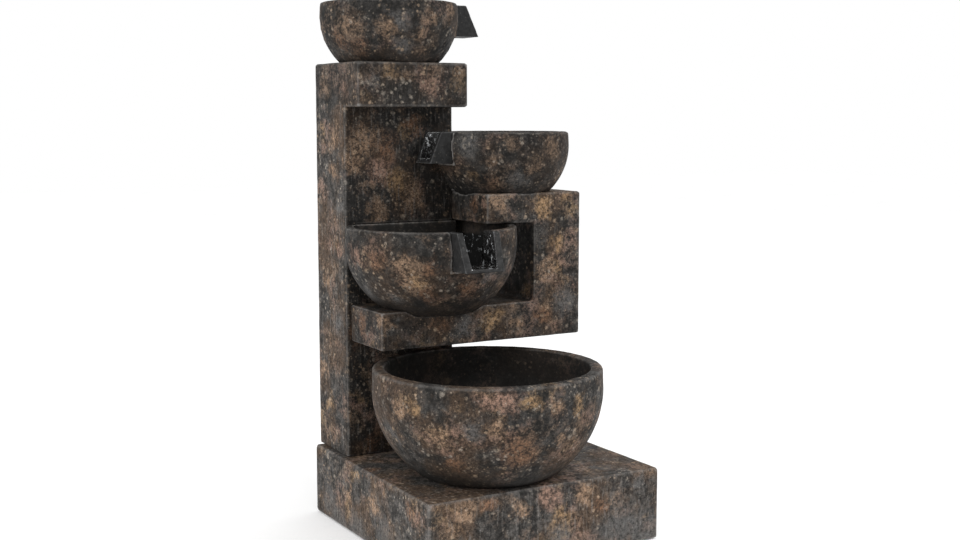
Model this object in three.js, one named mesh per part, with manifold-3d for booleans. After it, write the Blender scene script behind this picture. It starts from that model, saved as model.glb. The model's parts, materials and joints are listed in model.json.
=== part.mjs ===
import * as THREE from 'three';
import { RoundedBoxGeometry } from 'three/addons/geometries/RoundedBoxGeometry.js';
import { mergeVertices } from 'three/addons/utils/BufferGeometryUtils.js';
import Module from 'manifold-3d';

const wasm = await Module();
wasm.setup();

// Tiered water fountain. Millimetres, +Z up, +Y to the back, +X to the right.
// Everything is laid out round the middle of the plinth and moved at the end
// so that the origin is the middle of the whole fountain's footprint.

// ---------- driving dimensions ----------
const GAP = 0.3;                     // clearance left between separate pieces
const EDGE = 3;                      // worn rounding of the cast edges

const plinth = { x: 246, y: 245.4, top: 139, wall: 8, roof: 10 };
const column = { left: -232.6, right: 0, front: 113.8, back: 252, top: 815.7, wall: 8, backWall: 14 };
const ledge = { front: 50.9, bottom: 816, top: 900 };
const frame = {
  left: -223.6, right: 213.1, front: -23.1, back: 176,
  lowBottom: 368, lowTop: 439.5, postLeft: 105.7, highBottom: 593.8, highTop: 651.2, wall: 10,
};

// Each bowl is a truncated ellipse turned about its own axis.
// belly is the height of the widest ring, drop the half height of the ellipse.
const topBowl = { x: -119, y: 152, foot: 880, belly: 988, rim: 1015, radius: 134, drop: 125, wall: 15, floor: 14 };
const upperBowl = { x: 89, y: 72, foot: 625, belly: 742, rim: 768.7, radius: 132, drop: 127.5, wall: 15, floor: 14 };
const lowerBowl = { x: -91.5, y: 29, foot: 428, belly: 560, rim: 592.6, radius: 163, drop: 150.3, wall: 15, floor: 14 };
const basin = { x: -45, y: -102, foot: 139.3, belly: 302, rim: 339.5, radius: 215, drop: 200, wall: 24, floor: 20 };

// Spouts: an open channel with drafted cheeks and a slanted mouth.
const topSpout = { topHalf: 33.5, footHalf: 30.5, cheek: 8.5, height: 60, floor: 6, topReach: 154, footReach: 184, root: 112 };
const upperSpout = { ...topSpout, footReach: 177 };
const lowerSpout = { topHalf: 44, footHalf: 39.5, cheek: 12, height: 70.5, floor: 7, topReach: 179, footReach: 204, root: 140 };

const drain = { flange: 30, tube: 17, bore: 13, hole: 17.4, bottom: 104 };
const inlet = { flange: 20, stem: 10, bore: 4.2, barb: 6.2, barbBottom: 812, wellRadius: 34 };
const hose = { inner: 6.5, outer: 8.6, bottom: 84.5, top: 838 };
const pump = { x: -116, y: 172, z: 49, wide: 68, deep: 44, high: 58, shaft: 2, rotor: 17, chamber: 20 };
const outletX = -104;
const outletY = 181;
const tub = { half: 222, bottom: 8.3, top: 118, wall: 4 };
const door = { left: -189, right: -43, bottom: 166, top: 424, thick: 5.4, outer: 251.4, axisInset: 2, gap: 2.6 };
const gland = { x: -22, z: 186 };
const bolt = { shank: 1.6, hole: 1.9, head: 10, headHigh: 5, nut: 7.5, nutHigh: 6.5, washer: 13, washerHigh: 1.5 };
// How far the bolts run: front and side bolts into the frame, anchors up into the column.
const boltTip = { front: 92, side: 22, anchor: 157 };
// Ceilings inside the frame's two arms, and how far a bowl's bolt hangs below them.
const armCeiling = { low: 412, high: 608, boltBelow: 10 };
const armHollow = { back: 85, rearLeft: 26 };
const coverPlate = { thick: 4, screw: 2, screwHole: 2.3, screwHead: 4, screwHeadHigh: 2.2 };
// The lip that hangs from the ledge into the column's shaft, and the ledge's hollow.
const ledgeLip = { left: -224.2, right: -8.4, inset: 8.4, bottom: 798, rise: 5 };
const ledgeHollow = { left: -218, right: -14.6, front: 128.4, roof: 858 };
// Pads inside the column's foot that take the anchors.
const pad = { inset: 6, half: 10, front: 12, back: 17, bottom: 139.3, top: 165 };
const plinthShaft = { left: -214, right: -18, front: 134, back: 212 };
// The tub's drain, low in the plinth's back.
const tubDrain = { x: 150, z: 36, hole: 16, spigot: 13, bore: 9.3, end: 236, plug: 9, plugHead: 12.5, plugEnd: 242 };

// ---------- solids ----------
function toSolid(geometry) {
  const bare = geometry.clone();
  bare.deleteAttribute('normal');
  bare.deleteAttribute('uv');
  const merged = mergeVertices(bare, 1e-4);
  const source = merged.index.array;
  const kept = [];
  for (let i = 0; i < source.length; i += 3) {
    const [a, b, c] = [source[i], source[i + 1], source[i + 2]];
    if (a !== b && b !== c && c !== a) kept.push(a, b, c);
  }
  const vertProperties = new Float32Array(merged.attributes.position.array);
  const triVerts = new Uint32Array(kept);
  if (signedVolume(vertProperties, triVerts) < 0) flip(triVerts);
  return new wasm.Manifold(new wasm.Mesh({ numProp: 3, vertProperties, triVerts }));
}

function signedVolume(points, triangles) {
  let sum = 0;
  const a = new THREE.Vector3();
  const b = new THREE.Vector3();
  const c = new THREE.Vector3();
  for (let i = 0; i < triangles.length; i += 3) {
    a.fromArray(points, triangles[i] * 3);
    b.fromArray(points, triangles[i + 1] * 3);
    c.fromArray(points, triangles[i + 2] * 3);
    sum += a.dot(b.cross(c));
  }
  return sum;
}

function flip(triangles) {
  for (let i = 0; i < triangles.length; i += 3) {
    const keep = triangles[i + 1];
    triangles[i + 1] = triangles[i + 2];
    triangles[i + 2] = keep;
  }
}

function toGeometry(solid) {
  const mesh = solid.getMesh();
  const stride = mesh.numProp;
  const count = mesh.vertProperties.length / stride;
  const points = new Float32Array(count * 3);
  for (let i = 0; i < count; i += 1) {
    for (let k = 0; k < 3; k += 1) points[i * 3 + k] = mesh.vertProperties[i * stride + k];
  }
  const geometry = new THREE.BufferGeometry();
  geometry.setAttribute('position', new THREE.BufferAttribute(points, 3));
  geometry.setIndex(new THREE.BufferAttribute(new Uint32Array(mesh.triVerts), 1));
  geometry.computeVertexNormals();
  return geometry;
}

function block(x0, x1, y0, y1, z0, z1) {
  const shape = new THREE.BoxGeometry(x1 - x0, y1 - y0, z1 - z0);
  shape.translate((x0 + x1) / 2, (y0 + y1) / 2, (z0 + z1) / 2);
  return toSolid(shape);
}

function softBlock(x0, x1, y0, y1, z0, z1, radius = EDGE) {
  const shape = new RoundedBoxGeometry(x1 - x0, y1 - y0, z1 - z0, 1, radius);
  shape.translate((x0 + x1) / 2, (y0 + y1) / 2, (z0 + z1) / 2);
  return toSolid(shape);
}

// Upright cylinder or cone between two heights.
function post(x, y, z0, z1, radius, sides = 16, topRadius = radius) {
  const shape = new THREE.CylinderGeometry(topRadius, radius, z1 - z0, sides);
  shape.rotateX(Math.PI / 2);
  shape.translate(x, y, (z0 + z1) / 2);
  return toSolid(shape);
}

// Cylinder lying along Y.
function barY(x, z, y0, y1, radius, sides = 16) {
  const shape = new THREE.CylinderGeometry(radius, radius, y1 - y0, sides);
  shape.translate(x, (y0 + y1) / 2, z);
  return toSolid(shape);
}

// Cylinder lying along X.
function barX(y, z, x0, x1, radius, sides = 16) {
  const shape = new THREE.CylinderGeometry(radius, radius, x1 - x0, sides);
  shape.rotateZ(Math.PI / 2);
  shape.translate((x0 + x1) / 2, y, z);
  return toSolid(shape);
}

// Profile of [radius, height] pairs turned about an upright axis.
function turned(profile, x, y, sides = 40) {
  const shape = new THREE.LatheGeometry(profile.map(([r, z]) => new THREE.Vector2(r, z)), sides);
  shape.rotateX(Math.PI / 2);
  shape.translate(x, y, 0);
  return toSolid(shape);
}

// ---------- bowls ----------
function ellipseArc(radius, drop, belly, zLow, steps) {
  const start = Math.asin(Math.min(1, (belly - zLow) / drop));
  const arc = [];
  for (let i = 0; i <= steps; i += 1) {
    const angle = start * (1 - i / steps);
    arc.push([radius * Math.cos(angle), belly - drop * Math.sin(angle)]);
  }
  return arc;
}

// Full outer shape of a bowl, grown all round by a margin.
function bowlOuter(bowl, grow = 0, lift = 0) {
  const arc = ellipseArc(bowl.radius + grow, bowl.drop + grow, bowl.belly, bowl.foot - grow, 6);
  const lip = bowl.radius - 1.5 + grow;
  const profile = [[0, bowl.foot - grow], ...arc];
  if (grow > 0) profile.push([lip, bowl.rim + lift], [0, bowl.rim + lift]);
  else profile.push([lip, bowl.rim - 2.5], [lip - 2.5, bowl.rim], [0, bowl.rim]);
  return turned(profile, bowl.x, bowl.y);
}

function bowlInner(bowl) {
  const radius = bowl.radius - bowl.wall;
  const arc = ellipseArc(radius, bowl.drop - bowl.wall, bowl.belly, bowl.foot + bowl.floor, 4);
  const profile = [[0, bowl.foot + bowl.floor], ...arc, [radius, bowl.rim - 2.5], [radius + 2, bowl.rim + 1]];
  profile.push([0, bowl.rim + 1]);
  return turned(profile, bowl.x, bowl.y);
}

// Upright drafted prism seen from the mouth, swept along the pouring direction.
function channelPrism(topHalf, footHalf, zTop, zFoot, start, topReach, footReach) {
  const corners = [];
  for (const [reachTop, reachFoot] of [[start, start], [topReach, footReach]]) {
    corners.push([reachFoot, -footHalf, zFoot], [reachFoot, footHalf, zFoot]);
    corners.push([reachTop, topHalf, zTop], [reachTop, -topHalf, zTop]);
  }
  const faces = [
    0, 1, 2, 0, 2, 3, 4, 6, 5, 4, 7, 6, 0, 4, 5, 0, 5, 1,
    1, 5, 6, 1, 6, 2, 2, 6, 7, 2, 7, 3, 3, 7, 4, 3, 4, 0,
  ];
  const shape = new THREE.BufferGeometry();
  shape.setAttribute('position', new THREE.Float32BufferAttribute(corners.flat(), 3));
  shape.setIndex(faces);
  return shape;
}

function aimed(shape, bowl, turn) {
  shape.rotateZ(turn);
  shape.translate(bowl.x, bowl.y, 0);
  return toSolid(shape);
}

function spoutOuter(spout, bowl, turn, grow = 0) {
  const zFoot = bowl.rim - spout.height - grow;
  const zTop = bowl.rim + (grow > 0 ? 5 : 0);
  const shape = channelPrism(
    spout.topHalf + grow, spout.footHalf + grow, zTop, zFoot,
    spout.root - grow, spout.topReach, spout.footReach,
  );
  return aimed(shape, bowl, turn);
}

function spoutChannel(spout, bowl, turn) {
  const zFoot = bowl.rim - spout.height + spout.floor;
  const shape = channelPrism(
    spout.topHalf - spout.cheek, spout.footHalf - spout.cheek - 2, bowl.rim + 2, zFoot,
    spout.root - 20, spout.footReach + 20, spout.footReach + 20,
  );
  return aimed(shape, bowl, turn);
}

function spoutPiece(spout, bowl, turn) {
  return spoutOuter(spout, bowl, turn).subtract(spoutChannel(spout, bowl, turn));
}

const TURN_RIGHT = 0;
const TURN_LEFT = Math.PI;
const TURN_FRONT = -Math.PI / 2;

function makeTopBowl() {
  return bowlOuter(topBowl)
    .subtract(bowlInner(topBowl))
    .subtract(spoutOuter(topSpout, topBowl, TURN_RIGHT, GAP))
    .subtract(post(topBowl.x, topBowl.y, topBowl.foot - 5, topBowl.foot + 30, inlet.stem + 0.4));
}

// The upper bowl stands in the corner between arm and column and is cut to it.
function makeUpperBowl() {
  const corner = block(-200, GAP, column.front - GAP, 260, 600, 800);
  const cornerWall = block(-200, GAP + 10, column.front - GAP - 10, 260, 600, 800);
  return bowlOuter(upperBowl)
    .subtract(corner)
    .subtract(bowlInner(upperBowl).subtract(cornerWall))
    .subtract(spoutOuter(upperSpout, upperBowl, TURN_LEFT, GAP))
    .subtract(post(upperBowl.x, upperBowl.y, upperBowl.foot - 5, upperBowl.foot + 30, bolt.hole));
}

// The lower bowl grows out of the column: its flat back fills a window in the
// column's front wall and lies flush with that wall's face.
function lowerBowlTongue(grow) {
  const slim = { ...lowerBowl, radius: lowerBowl.radius - 9, drop: lowerBowl.drop - 9, foot: lowerBowl.foot + 9 };
  const wall = block(-230, GAP + 0.2, column.front - 2, column.front + column.wall - GAP + grow, 400, 800);
  return bowlOuter(slim, grow, grow > 0 ? GAP : 0).intersect(wall);
}

function makeLowerBowl() {
  const columnSpace = block(-400, GAP, column.front - GAP, 400, 400, 800);
  const hollowLimit = block(-400, 10, column.front, 400, 400, 800);
  return bowlOuter(lowerBowl)
    .subtract(columnSpace)
    .add(lowerBowlTongue(0))
    .subtract(bowlInner(lowerBowl).subtract(hollowLimit))
    .subtract(spoutOuter(lowerSpout, lowerBowl, TURN_FRONT, GAP))
    .subtract(post(lowerBowl.x, lowerBowl.y, lowerBowl.foot - 5, lowerBowl.foot + 30, bolt.hole));
}

function makeBasin() {
  return bowlOuter(basin)
    .subtract(bowlInner(basin))
    .subtract(post(basin.x, basin.y, basin.foot - 5, basin.foot + 40, drain.hole, 24));
}

// ---------- plinth, reservoir and feet ----------
function makePlinth() {
  const outer = softBlock(-plinth.x, plinth.x, -plinth.y, plinth.y, 1, plinth.top);
  const inner = block(
    -plinth.x + plinth.wall, plinth.x - plinth.wall,
    -plinth.y + plinth.wall, plinth.y - plinth.wall, -5, plinth.top - plinth.roof,
  );
  const shaft = block(plinthShaft.left, plinthShaft.right, plinthShaft.front, plinthShaft.back, 100, 160);
  let shell = outer.subtract(inner).subtract(shaft);
  shell = shell.subtract(post(basin.x, basin.y, 100, 160, drain.hole, 24));
  shell = shell.subtract(barY(tubDrain.x, tubDrain.z, 230, 250, tubDrain.hole, 24));
  for (const [x, y] of anchorSpots) shell = shell.subtract(post(x, y, 100, 160, bolt.hole, 16));
  return shell;
}

const anchorSpots = [[-30, 222], [-205, 222]];

function makeBasePlate() {
  const halfX = plinth.x - plinth.wall - 0.6;
  const halfY = plinth.y - plinth.wall - 0.6;
  let plate = block(-halfX, halfX, -halfY, halfY, 2, 8);
  for (const [x, y] of footSpots) plate = plate.subtract(post(x, y, 0, 12, 4.3, 16));
  return plate;
}

const footSpots = [[-200, -200], [200, -200], [200, 200], [-200, 200]];

function makeFoot([x, y]) {
  return turned([[0, 0], [17, 0], [18, 1.7], [4, 1.7], [4, 8.0], [0, 8.0]], x, y, 16);
}

function makeTub() {
  const outer = softBlock(-tub.half, tub.half, -tub.half, tub.half, tub.bottom, tub.top + 20, 10);
  const inner = softBlock(
    -tub.half + tub.wall, tub.half - tub.wall, -tub.half + tub.wall, tub.half - tub.wall,
    tub.bottom + tub.wall, tub.top + 40, 8,
  );
  const spigot = barY(tubDrain.x, tubDrain.z, tub.half - 2, tubDrain.end, tubDrain.spigot, 24);
  return outer
    .intersect(block(-300, 300, -300, 300, 0, tub.top))
    .subtract(inner)
    .add(spigot)
    .subtract(barY(tubDrain.x, tubDrain.z, tub.half - 10, 250, tubDrain.bore, 24));
}

function makeDrainPlug() {
  const { x, z, end, plug, plugHead, plugEnd } = tubDrain;
  return barY(x, z, end - 20, end + 1, plug, 24).add(barY(x, z, end + 0.4, plugEnd, plugHead, 24));
}

// ---------- column and ledge ----------
function makeColumn() {
  const outer = softBlock(column.left, column.right, column.front, column.back, plinth.top + GAP, ledge.top)
    .intersect(block(-300, 100, 0, 300, 100, column.top));
  const inner = block(
    column.left + column.wall, column.right - column.wall,
    column.front + column.wall, column.back - column.backWall, 100, 900,
  );
  let shell = outer.subtract(inner);
  for (const [x, y] of anchorSpots) {
    const onLeft = x < (column.left + column.right) / 2;
    const left = onLeft ? column.left + pad.inset : x - pad.half;
    const right = onLeft ? x + pad.half : column.right - pad.inset;
    const lump = block(left, right, y - pad.front, y + pad.back, pad.bottom, pad.top);
    shell = shell.add(lump).subtract(post(x, y, 130, boltTip.anchor + 1, bolt.hole, 16));
  }
  shell = shell.subtract(lowerBowlTongue(GAP));
  shell = shell.subtract(doorOpening()).subtract(glandOpening());
  for (const [x, z] of frontBoltSpots) shell = shell.subtract(barY(x, z, 100, 140, bolt.hole));
  for (const [y, z] of sideBoltSpots) shell = shell.subtract(barX(y, z, -20, 10, bolt.hole));
  return shell;
}

function doorOpening() {
  const g = door.gap;
  const recess = block(door.left - g, door.right + g, door.outer - door.thick - 1.2, 260, door.bottom - g, door.top + g);
  const through = block(door.left - g, door.right - 6, 220, 260, door.bottom + 6, door.top - 6);
  const pinX = door.left + door.axisInset;
  const pinY = door.outer - door.thick / 2;
  const pins = post(pinX, pinY, door.bottom - 14, door.top + 14, 1.5, 16);
  return recess.add(through).add(pins);
}

function glandOpening() {
  const { x, z } = gland;
  return barY(x, z, column.back - 20, column.back + 8, 6.3).add(barY(x, z, column.back - 5, column.back + 8, 9.5));
}

function makeDoor() {
  const plate = block(door.left, door.right, door.outer - door.thick, door.outer, door.bottom, door.top);
  const pinX = door.left + door.axisInset;
  const pinY = door.outer - door.thick / 2;
  const pull = barY(door.right - 20, (door.bottom + door.top) / 2, 230, 260, 9, 24);
  return plate
    .subtract(post(pinX, pinY, door.bottom - 1, door.bottom + 14, 1.5, 16))
    .subtract(post(pinX, pinY, door.top - 14, door.top + 1, 1.5, 16))
    .subtract(pull)
    .subtract(ventSlots());
}

function ventSlots() {
  let slots = block(-160, -90, 230, 260, 250, 254);
  for (let i = 1; i < 5; i += 1) slots = slots.add(block(-160, -90, 230, 260, 250 + i * 14, 254 + i * 14));
  return slots;
}

function makeHingePin(upper) {
  const pinX = door.left + door.axisInset;
  const pinY = door.outer - door.thick / 2;
  const low = upper ? door.top - 13 : door.bottom - 13;
  return post(pinX, pinY, low, low + 26, 1.2, 12);
}

function makeGland() {
  const { x, z } = gland;
  const inside = column.back - column.backWall - GAP;
  return barY(x, z, inside - 6, column.back - 4, 6)
    .add(barY(x, z, column.back - 4.7, column.back - 1.5, 9.2))
    .add(barY(x, z, inside - 6, inside, 8.5, 6))
    .subtract(barY(x, z, inside - 20, column.back + 8, 3));
}

function makeLedge() {
  const outer = softBlock(column.left, column.right, ledge.front, column.back, ledge.bottom - 40, ledge.top)
    .intersect(block(-300, 100, 0, 300, ledge.bottom, 1000));
  const front = softBlock(column.left, column.right, ledge.front, column.back - 40, ledge.bottom, ledge.top);
  const rear = outer.intersect(block(-300, 100, column.front + 4, 300, 700, 1000));
  const lipBack = column.back - column.backWall - 0.4;
  const lipFront = column.front + ledgeLip.inset;
  const lip = block(ledgeLip.left, ledgeLip.right, lipFront, lipBack, ledgeLip.bottom, ledge.bottom + ledgeLip.rise);
  const hollow = block(ledgeHollow.left, ledgeHollow.right, ledgeHollow.front, lipBack - 6, 700, ledgeHollow.roof);
  return front
    .add(rear)
    .add(lip)
    .subtract(hollow)
    .subtract(bowlOuter(topBowl, GAP, 5))
    .subtract(post(topBowl.x, topBowl.y, 840, 900, inlet.wellRadius, 24));
}

// ---------- side frame ----------
const frontBoltSpots = [[-195, 396], [-40, 396]];
const sideBoltSpots = [[150, 612], [150, 400]];

function makeFrame() {
  const f = frame;
  const lowLeft = softBlock(f.left, 60, f.front, column.front - GAP, f.lowBottom, f.lowTop);
  const lowRight = softBlock(GAP, f.right, f.front, f.back + 10, f.lowBottom, f.lowTop);
  const upright = softBlock(f.postLeft, f.right, f.front, f.back + 10, f.lowBottom, f.highTop);
  const high = softBlock(GAP, f.right, f.front, f.back + 10, f.highBottom, f.highTop);
  const body = lowLeft.add(lowRight).add(upright).add(high).intersect(block(-300, 300, -100, f.back, 300, 700));
  let shell = body.subtract(frameHollow());
  shell = shell.subtract(bowlOuter(lowerBowl, GAP, 0.2)).subtract(bowlOuter(upperBowl, GAP, 5));
  shell = shell.subtract(post(lowerBowl.x, lowerBowl.y, 400, 440, bolt.hole));
  shell = shell.subtract(post(lowerBowl.x, lowerBowl.y, 360, 380, 20, 32));
  shell = shell.subtract(post(upperBowl.x, upperBowl.y, 590, 640, bolt.hole));
  shell = shell.subtract(post(upperBowl.x, upperBowl.y, 580, 608, 15, 32));
  for (const [x, z] of frontBoltSpots) shell = shell.subtract(barY(x, z, 91, 120, bolt.hole));
  for (const [y, z] of sideBoltSpots) shell = shell.subtract(barX(y, z, -5, 23, bolt.hole));
  for (const [x, z] of coverScrewSpots) shell = shell.subtract(barY(x, z, f.back - 16, f.back + 5, coverPlate.screwHole, 12));
  return shell;
}

function frameHollow() {
  const f = frame;
  const w = f.wall;
  const arm = block(f.left + w, f.right - w, f.front + w, armHollow.back, f.lowBottom + w, armCeiling.low);
  const armRear = block(armHollow.rearLeft, f.right - w, f.front + w, f.back + 20, f.lowBottom + w, armCeiling.low);
  const upright = block(f.postLeft + w, f.right - w, f.front + w, f.back + 20, f.lowBottom + w, f.highBottom);
  return arm.add(armRear).add(upright);
}

const coverScrewSpots = [[208, 373], [208, 646], [13, 610], [13, 430]];

function makeFrameCover() {
  const f = frame;
  const outline = new THREE.Shape();
  outline.moveTo(GAP, f.lowBottom);
  outline.lineTo(f.right, f.lowBottom);
  outline.lineTo(f.right, f.highTop);
  outline.lineTo(GAP, f.highTop);
  outline.lineTo(GAP, f.highBottom);
  outline.lineTo(f.postLeft, f.highBottom);
  outline.lineTo(f.postLeft, f.lowTop);
  outline.lineTo(GAP, f.lowTop);
  outline.closePath();
  const shape = new THREE.ExtrudeGeometry(outline, { depth: coverPlate.thick, bevelEnabled: false });
  shape.rotateX(Math.PI / 2);
  shape.translate(0, f.back + GAP + coverPlate.thick, 0);
  let plate = toSolid(shape).subtract(bowlOuter(upperBowl, GAP, 5));
  for (const [x, z] of coverScrewSpots) plate = plate.subtract(barY(x, z, f.back, f.back + 10, coverPlate.screwHole, 12));
  return plate;
}

function makeCoverScrew([x, z]) {
  const seat = frame.back + GAP + coverPlate.thick + 0.2;
  const head = barY(x, z, seat, seat + coverPlate.screwHeadHigh, coverPlate.screwHead, 16);
  return barY(x, z, frame.back - 14, seat + 1, coverPlate.screw, 12).add(head);
}

function makeFrontBolt([x, z]) {
  const seat = column.front + column.wall + GAP;
  return barY(x, z, boltTip.front, seat + 1, bolt.shank).add(barY(x, z, seat, seat + bolt.headHigh, bolt.head, 6));
}

function makeSideBolt([y, z]) {
  const seat = column.right - column.wall - GAP;
  return barX(y, z, seat - 1, boltTip.side, bolt.shank).add(barX(y, z, seat - bolt.headHigh, seat, bolt.head, 6));
}

function makeAnchor([x, y]) {
  const seat = plinth.top - plinth.roof - GAP;
  return post(x, y, seat - 1, boltTip.anchor, bolt.shank, 12).add(post(x, y, seat - bolt.headHigh, seat, bolt.nut - 0.5, 6));
}

// ---------- bowl fixings ----------
function makeBowlBolt(bowl, tip) {
  const seat = bowl.foot + bowl.floor + 2;
  const head = turned([[0, seat], [bolt.head, seat], [bolt.head, seat + 2], [6, seat + bolt.headHigh], [0, seat + bolt.headHigh]],
    bowl.x, bowl.y, 12);
  return post(bowl.x, bowl.y, tip, seat + 1, bolt.shank, 12).add(head);
}

function makeBowlWasher(bowl) {
  const floor = bowl.foot + bowl.floor + GAP - 0.1;
  return post(bowl.x, bowl.y, floor, floor + bolt.washerHigh, bolt.washer, 16)
    .subtract(post(bowl.x, bowl.y, floor - 1, floor + 3, bolt.hole));
}

function makeBowlNut(bowl, ceiling) {
  const top = ceiling - GAP;
  return post(bowl.x, bowl.y, top - bolt.nutHigh, top, bolt.nut, 6)
    .subtract(post(bowl.x, bowl.y, top - 20, top + 5, bolt.hole));
}

// ---------- basin drain ----------
const basinFloor = basin.foot + basin.floor;

function makeDrainFitting() {
  const seat = basinFloor + 2;
  return post(basin.x, basin.y, drain.bottom, seat + 1, drain.tube, 24)
    .add(post(basin.x, basin.y, seat, seat + 4, drain.flange, 24, drain.flange - 2))
    .subtract(post(basin.x, basin.y, 90, seat + 10, drain.bore, 24));
}

function makeDrainGasket() {
  return post(basin.x, basin.y, basinFloor + 0.2, basinFloor + 1.8, 28, 24)
    .subtract(post(basin.x, basin.y, basinFloor - 5, basinFloor + 5, drain.tube + 0.4, 24));
}

function makeDrainNut() {
  const top = plinth.top - plinth.roof - GAP;
  return post(basin.x, basin.y, top - 10, top, 26, 8).subtract(post(basin.x, basin.y, top - 20, top + 5, drain.tube + 0.3, 24));
}

function makeStrainer() {
  const seat = basinFloor + 6.3;
  let cap = turned([[0, seat - 8], [12.6, seat - 8], [12.6, seat], [25, seat], [24, seat + 3], [10, seat + 5], [0, seat + 5]],
    basin.x, basin.y, 24);
  for (let i = 0; i < 6; i += 1) {
    const angle = (i * Math.PI) / 3;
    const hole = post(basin.x + 6.5 * Math.cos(angle), basin.y + 6.5 * Math.sin(angle), seat - 9, seat + 9, 1.6, 8);
    cap = cap.subtract(hole);
  }
  const grip = post(basin.x, basin.y, seat + 4, seat + 14, 2.6, 16, 3.6);
  return cap.add(grip);
}

// ---------- pump and riser ----------
function makePumpBody() {
  const p = pump;
  const back = p.y - p.deep / 2;
  const face = p.y + p.deep / 2;
  const shell = softBlock(p.x - p.wide / 2, p.x + p.wide / 2, back, face, p.z - p.high / 2, p.z + p.high / 2, 5)
    .add(block(p.x - p.wide / 2 + 4, p.x + p.wide / 2 - 4, face - 6, face, p.z - p.high / 2 + 4, p.z + p.high / 2 - 4))
    .add(post(outletX, outletY, p.z + 10, 98, inlet.barb, 16));
  return shell
    .subtract(barY(p.x, p.z, face - 26, face + 5, p.chamber, 24))
    .subtract(post(outletX, outletY, p.z + 5, 120, inlet.bore, 16))
    .subtract(barY(p.x, p.z, face - 34, face, p.shaft + 0.3, 12));
}

function makePumpCover() {
  const p = pump;
  const face = p.y + p.deep / 2 + GAP;
  let plate = softBlock(p.x - p.wide / 2, p.x + p.wide / 2, face, face + 6, p.z - p.high / 2, p.z + p.high / 2, 2);
  for (let i = -2; i <= 2; i += 1) plate = plate.subtract(block(p.x - 4, p.x + 16, face - 5, face + 10, p.z + i * 7 - 1.6, p.z + i * 7 + 1.6));
  return plate.subtract(barY(p.x - 20, p.z, face + 2, face + 10, 3.4, 16));
}

function makeFlowDial() {
  const p = pump;
  const face = p.y + p.deep / 2 + GAP;
  return barY(p.x - 20, p.z, face + 2.4, face + 8, 3, 16)
    .add(barY(p.x - 20, p.z, face + 6.3, face + 10.5, 8.5, 24))
    .add(block(p.x - 21.2, p.x - 18.8, face + 9, face + 13, p.z - 7, p.z + 7));
}

function makePumpShaft() {
  const face = pump.y + pump.deep / 2;
  return barY(pump.x, pump.z, face - 33, face - 2, pump.shaft, 12);
}

function makeImpeller() {
  const face = pump.y + pump.deep / 2;
  const near = face - 22;
  const far = face - 4;
  let rotor = barY(pump.x, pump.z, near, far, 6, 20).add(barY(pump.x, pump.z, near, near + 2.5, pump.rotor, 24));
  for (let i = 0; i < 6; i += 1) {
    const blade = new THREE.BoxGeometry(pump.rotor - 5, far - near - 4, 2);
    blade.translate(5 + (pump.rotor - 5) / 2 - 0.5, (near + far - 4) / 2 + 1, 0);
    blade.rotateY((i * Math.PI) / 3);
    blade.translate(pump.x, 0, pump.z);
    rotor = rotor.add(toSolid(blade));
  }
  return rotor.subtract(barY(pump.x, pump.z, near - 5, far + 5, pump.shaft + 0.3, 12));
}

const cupSpots = [[-26, -14], [26, -14], [26, 14], [-26, 14]];

function makeCup([dx, dy]) {
  const foot = tub.bottom + tub.wall + GAP;
  const top = pump.z - pump.high / 2 - GAP;
  return turned([[0, foot], [8, foot], [4, top - 1.5], [4, top], [0, top]], pump.x + dx, pump.y + dy, 16);
}

// The riser leaves the pump upright, leans across and enters the ledge upright.
class RiserPath extends THREE.Curve {
  getPoint(t, target = new THREE.Vector3()) {
    const z = hose.bottom + (hose.top - hose.bottom) * t;
    const s = Math.min(1, Math.max(0, (t - 0.08) / 0.84));
    const lean = s * s * (3 - 2 * s);
    return target.set(outletX + (topBowl.x - outletX) * lean, outletY + (topBowl.y - outletY) * lean, z);
  }
}

function makeHose() {
  const ring = new THREE.Shape();
  ring.absarc(0, 0, hose.outer, 0, Math.PI * 2, false);
  const bore = new THREE.Path();
  bore.absarc(0, 0, hose.inner, 0, Math.PI * 2, true);
  ring.holes.push(bore);
  const shape = new THREE.ExtrudeGeometry(ring, { steps: 12, curveSegments: 6, extrudePath: new RiserPath() });
  return toSolid(shape);
}

function makeHoseClamp(x, y, z) {
  return post(x, y, z, z + 8, hose.outer + 1.6, 16)
    .add(block(x + hose.outer, x + hose.outer + 7, y - 3, y + 3, z, z + 8))
    .subtract(post(x, y, z - 5, z + 15, hose.outer + 0.35, 16));
}

// ---------- top bowl inlet ----------
const topFloor = topBowl.foot + topBowl.floor;

function makeInletFitting() {
  const seat = topFloor + 2;
  return post(topBowl.x, topBowl.y, inlet.barbBottom, 842, inlet.barb, 16)
    .add(post(topBowl.x, topBowl.y, 841, seat + 1, inlet.stem, 16))
    .add(post(topBowl.x, topBowl.y, seat, seat + 4, inlet.flange, 20, inlet.flange - 2))
    .add(post(topBowl.x, topBowl.y, seat + 3, seat + 20, inlet.stem - 3, 20))
    .subtract(post(topBowl.x, topBowl.y, 780, seat + 40, inlet.bore, 16));
}

function makeInletGasket() {
  return post(topBowl.x, topBowl.y, topFloor + 0.2, topFloor + 1.8, 18, 20)
    .subtract(post(topBowl.x, topBowl.y, topFloor - 5, topFloor + 5, inlet.stem + 0.4));
}

function makeInletNut() {
  const top = topBowl.foot - GAP;
  return post(topBowl.x, topBowl.y, top - 9, top, 19, 6).subtract(post(topBowl.x, topBowl.y, top - 20, top + 5, inlet.stem + 0.3));
}

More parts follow.
